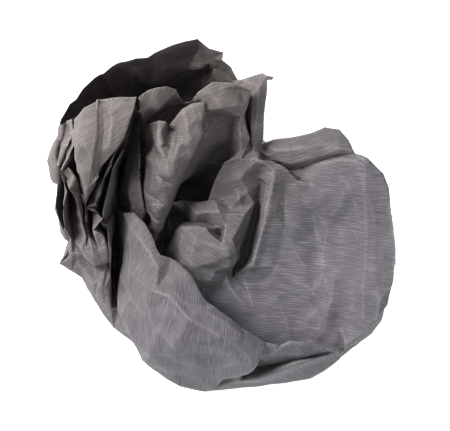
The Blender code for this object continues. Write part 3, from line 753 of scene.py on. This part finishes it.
def ribbed_kraft():
    """Ribs along U, a millimetre to the unit, with fibre clouds and worn creases."""
    material = bpy.data.materials.new("ribbed_kraft_paper")
    material.use_nodes = True
    tree = material.node_tree
    tree.nodes.clear()
    uv = add_node(tree, "ShaderNodeUVMap", {"uv_map": "ribs"}).outputs["UV"]
    place = add_node(tree, "ShaderNodeTexCoord").outputs["Object"]

    # ribs: fine streaks along U, with a little of an even wave
    stretched = add_node(tree, "ShaderNodeMapping", Vector=uv,
                         Scale=(STREAK_STRETCH, 1.0, 1.0)).outputs[0]
    streak = add_node(tree, "ShaderNodeTexNoise", Vector=stretched, Scale=STREAKS_PER_MM,
                      Detail=2.0, Roughness=0.55).outputs["Fac"]
    wave = add_node(tree, "ShaderNodeTexWave", {"bands_direction": "Y"}, Vector=uv,
                    Scale=2 * math.pi / RIB_PITCH / WAVE_STEP, Distortion=1.8, Detail=1.0,
                    Detail_Scale=0.4).outputs["Fac"]
    ribs = add_node(tree, "ShaderNodeMix", {"data_type": "FLOAT"}, i0=RIB_SHARE, i2=streak,
                    i3=wave).outputs[0]
    rib_tops = add_node(tree, "ShaderNodeMapRange", Value=ribs, From_Min=0.48,
                        From_Max=0.7).outputs[0]

    # fibre: broad clouds through the sheet, and fine grain on it
    clouds = add_node(tree, "ShaderNodeTexNoise", Vector=place, Scale=CLOUDS_PER_CM * 100,
                      Detail=4.0, Roughness=0.6).outputs["Fac"]
    fibres = add_node(tree, "ShaderNodeTexNoise", Vector=uv, Scale=FIBRES_PER_MM, Detail=2.0,
                      Roughness=0.7).outputs["Fac"]

    # colour: the dye with a painted light tint, cool to the front and right, warm to the back and
    # left, lighter on the tops of the ribs
    across = add_node(tree, "ShaderNodeVectorMath", {"operation": "DOT_PRODUCT"}, i0=place,
                      i1=PAINTED_WARM_WAY).outputs["Value"]
    painted_warmth = add_node(tree, "ShaderNodeMapRange", Value=across, From_Min=PAINTED_WARM_FROM,
                       From_Max=PAINTED_WARM_TO).outputs[0]
    dark = add_node(tree, "ShaderNodeMix", {"data_type": "RGBA"}, i0=painted_warmth,
                    i6=linear(PAINTED_COOL_DARK), i7=linear(PAINTED_WARM_DARK)).outputs[2]
    pale = add_node(tree, "ShaderNodeMix", {"data_type": "RGBA"}, i0=painted_warmth,
                    i6=linear(PAINTED_COOL_PALE), i7=linear(PAINTED_WARM_PALE)).outputs[2]
    base = add_node(tree, "ShaderNodeMix", {"data_type": "RGBA"}, i0=clouds, i6=dark,
                    i7=pale).outputs[2]
    line_shade = add_node(tree, "ShaderNodeMapRange", Value=rib_tops, To_Min=0.86,
                          To_Max=1.6).outputs[0]
    grain = add_node(tree, "ShaderNodeMapRange", Value=fibres, From_Min=0.3, From_Max=0.7,
                     To_Min=0.86, To_Max=1.14).outputs[0]
    shade = number_node(tree, "MULTIPLY", line_shade, grain)
    shade_colour = add_node(tree, "ShaderNodeCombineColor", Red=shade, Green=shade,
                            Blue=shade).outputs[0]
    lined = add_node(tree, "ShaderNodeMix", {"data_type": "RGBA", "blend_type": "MULTIPLY"},
                     i0=1.0, i6=base, i7=shade_colour).outputs[2]

    # wear and painted highlight: pale fibre where the mesh says so, broken up by the grain
    wear_and_highlight_point = add_node(tree, "ShaderNodeAttribute", {"attribute_name": "wear_and_highlight"}).outputs["Fac"]
    grain_breakup = add_node(tree, "ShaderNodeMapRange", Value=fibres, From_Min=0.35, From_Max=0.6,
                      To_Min=0.25, To_Max=1.0).outputs[0]
    wear_and_highlight = number_node(tree, "MULTIPLY", number_node(tree, "MULTIPLY", wear_and_highlight_point, grain_breakup),
                       WEAR_AND_HIGHLIGHT_SHARE)
    colour = add_node(tree, "ShaderNodeMix", {"data_type": "RGBA"}, i0=wear_and_highlight, i6=lined,
                      i7=linear(RUBBED_FIBRE_AND_HIGHLIGHT)).outputs[2]

    # relief: the ribs, with a little of the grain
    height = number_node(tree, "ADD", ribs, number_node(tree, "MULTIPLY", fibres, GRAIN_RELIEF))
    bump = add_node(tree, "ShaderNodeBump", Strength=0.6, Distance=RELIEF,
                    Height=height).outputs[0]

    # unglazed paper: rough and not metal
    shader = add_node(tree, "ShaderNodeBsdfPrincipled", Roughness=0.7, Metallic=0.0, IOR=1.45,
                      Base_Color=colour, Normal=bump)
    add_node(tree, "ShaderNodeOutputMaterial", Surface=shader.outputs["BSDF"])
    print("nodes in the paper's material:", len(tree.nodes))
    return material


paper.data.materials.append(ribbed_kraft())

# %% [markdown]
# ## Table, light and camera
# The paper lies on a white table, which gives a little light of its own, so that it stays white
# round the paper. One big soft light stands high on the left, a weak one opposite lifts the dark
# sides, and an even white surround fills the rest. The camera looks straight down from far away
# through a long lens, so that high and low folds keep the same size.

# %% The table
TABLE_SIZE = 6.0
TABLE_GLOW = 0.8


def table_white():
    """Matt white laminate that gives a little light of its own."""
    material = bpy.data.materials.new("white_laminate")
    material.use_nodes = True
    shader = material.node_tree.nodes["Principled BSDF"]
    shader.inputs["Base Color"].default_value = linear("FAFAFA")
    shader.inputs["Roughness"].default_value = 0.6
    shader.inputs["Emission Color"].default_value = (1.0, 1.0, 1.0, 1.0)
    shader.inputs["Emission Strength"].default_value = TABLE_GLOW
    return material


bpy.ops.object.select_all(action="DESELECT")
bpy.ops.mesh.primitive_plane_add(size=TABLE_SIZE, location=(0, 0, 0))
table = bpy.context.active_object
table.name = "table_top"
table.data.materials.append(table_white())

# %% The lights
LAMP_WHITE = (1.0, 0.99, 0.98)
SURROUND_WHITE = (0.95, 0.97, 1.0, 1.0)
SURROUND_STRENGTH = 0.33


def soft_light(name, place, size, power, colour):
    """A square light that faces the heap: its place and side in metres, its power in watts."""
    data = bpy.data.lights.new(name, "AREA")
    data.energy = power
    data.size = size
    data.color = colour
    light = bpy.data.objects.new(name, data)
    light.location = place
    light.rotation_euler = (-Vector(place)).to_track_quat("-Z", "Y").to_euler()
    bpy.context.scene.collection.objects.link(light)


soft_light("window", (-0.9, 0.6, 1.1), 0.7, 40.5, LAMP_WHITE)
soft_light("bounce", (0.7, -0.8, 0.9), 0.5, 5.0, LAMP_WHITE)
world = bpy.data.worlds.new("white_room")
bpy.context.scene.world = world
world.use_nodes = True
surround = world.node_tree.nodes["Background"]
surround.inputs["Color"].default_value = SURROUND_WHITE
surround.inputs["Strength"].default_value = SURROUND_STRENGTH
bpy.context.scene.view_settings.view_transform = "Standard"

# %% The camera
VIEW_WIDTH = 180 * MM
VIEW_CENTRE = Vector((1.2 * MM, -0.2 * MM, 38 * MM))
LENS = 300.0
SENSOR = 36.0
camera_data = bpy.data.cameras.new("camera")
camera_data.lens = LENS
camera_data.sensor_width = SENSOR
camera_data.clip_start = 10 * MM
camera = bpy.data.objects.new("camera", camera_data)
camera.location = VIEW_CENTRE + Vector((0, 0, VIEW_WIDTH * LENS / SENSOR))
bpy.context.scene.collection.objects.link(camera)
bpy.context.scene.camera = camera
print("camera height, mm:", round(camera.location.z / MM))

# %% [markdown]
# ## Hand the paper over
# The finished sheet stands for the plain CAD sheet and moves with it. Its size before it was
# crushed is taken to be A4.

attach(paper, "root")
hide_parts("paper_sheet")
